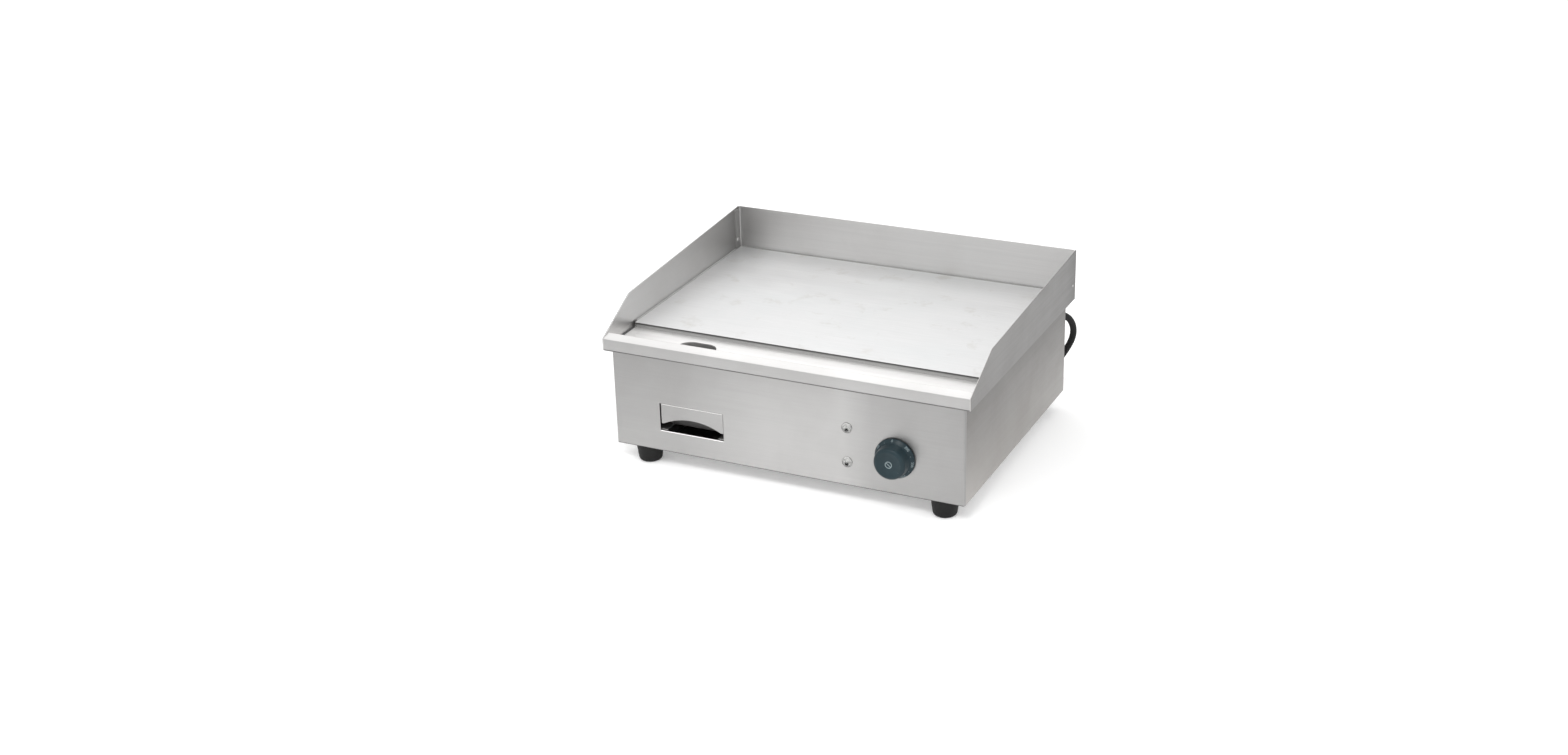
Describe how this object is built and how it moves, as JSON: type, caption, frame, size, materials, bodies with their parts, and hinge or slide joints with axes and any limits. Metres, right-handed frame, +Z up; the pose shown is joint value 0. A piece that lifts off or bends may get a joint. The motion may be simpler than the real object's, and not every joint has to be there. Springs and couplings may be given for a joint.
{
  "type": "countertop electric griddle",
  "caption": "Flat steel cooking plate in a sheet steel housing with splash guards, a front grease trough and drawer, a control knob and pilot lamps.",
  "frame": {"origin": "on the floor, at the centre of the object's box without its mains cord", "axes": "+X to the right seen from the front, +Y to the back, +Z up"},
  "size_m": [0.55, 0.6281, 0.246],
  "materials": {
    "body_steel": "brushed stainless sheet",
    "guard_steel": "brushed stainless sheet",
    "drawer_steel": "brushed stainless sheet",
    "inner_steel": "plain mill-finish sheet",
    "plate_steel": "ground cooking plate, fine satin",
    "fastener_steel": "plain fasteners",
    "element_steel": "heat-tinted sheathed heater",
    "gasket_fibre": "heat-resisting fibre",
    "foot_rubber": "moulded black rubber",
    "knob_plastic": "moulded dark blue-grey plastic",
    "control_plastic": "moulded black housings",
    "button_plastic": "moulded red plastic",
    "lens_plastic": "clear moulded lens",
    "probe_copper": "bare copper",
    "terminal_porcelain": "glazed porcelain",
    "wire_sleeve": "glass-fibre sleeve",
    "gland_plastic": "black nylon",
    "cord_rubber": "black rubber sheath",
    "plug_rubber": "moulded black rubber",
    "plug_pin_metal": "nickel-plated brass"
  },
  "bodies": {
    "root": {"base_plate": "inner_steel", "front_panel": "body_steel", "left_side_panel": "body_steel", "right_side_panel": "body_steel", "back_panel": "inner_steel", "back_panel_screws": "fastener_steel", "left_guard": "guard_steel", "right_guard": "guard_steel", "back_guard": "guard_steel", "guard_rivets": "fastener_steel", "grease_trough": "guard_steel", "drip_chute": "inner_steel", "griddle_plate": "plate_steel", "plate_gasket": "gasket_fibre", "plate_studs": "fastener_steel", "element_clamp_bars": "inner_steel", "stud_nuts": "fastener_steel", "insulation_pad": "gasket_fibre", "heat_shield": "inner_steel", "front_element": "element_steel", "rear_element": "element_steel", "foot_front_left": "foot_rubber", "foot_front_right": "foot_rubber", "foot_rear_left": "foot_rubber", "foot_rear_right": "foot_rubber", "foot_screws": "fastener_steel", "foot_nuts": "fastener_steel", "drawer_rail_left": "inner_steel", "drawer_rail_right": "inner_steel", "thermostat_body": "control_plastic", "thermostat_screws": "fastener_steel", "thermostat_probe": "probe_copper", "limiter_body": "control_plastic", "limiter_nut": "fastener_steel", "limiter_probe": "probe_copper", "bulb_clips": "inner_steel", "upper_lamp_lens": "lens_plastic", "upper_lamp_body": "control_plastic", "lower_lamp_lens": "lens_plastic", "lower_lamp_body": "control_plastic", "lamp_clips": "fastener_steel", "terminal_block": "terminal_porcelain", "earth_stud": "fastener_steel", "supply_wires": "wire_sleeve", "load_wires": "wire_sleeve", "element_wires": "wire_sleeve", "gland_body": "gland_plastic", "gland_locknut": "gland_plastic", "strain_relief": "cord_rubber", "power_cord": "cord_rubber", "cord_coil": "cord_rubber", "cord_tail": "cord_rubber", "plug_body": "plug_rubber", "plug_pins": "plug_pin_metal"},
    "grease_drawer": {"drawer_box": "drawer_steel", "drawer_front": "drawer_steel"},
    "temperature_knob": {"control_knob": "knob_plastic", "thermostat_shaft": "fastener_steel"},
    "limiter_reset": {"reset_button": "button_plastic"}
  },
  "joints": [
    {"name": "drawer_slide", "type": "slide", "parent": "root", "child": "grease_drawer", "axis": [0, -1, 0], "range_m": [0, 0.2]},
    {"name": "knob_turn", "type": "hinge", "parent": "root", "child": "temperature_knob", "pos_m": [0.1655, -0.199, 0.08], "axis": [0, 1, 0], "range_deg": [0, 310]},
    {"name": "reset_press", "type": "slide", "parent": "root", "child": "limiter_reset", "axis": [0, -1, 0], "range_m": [0, 0.002], "stiffness_N_per_m": 800}
  ]
}
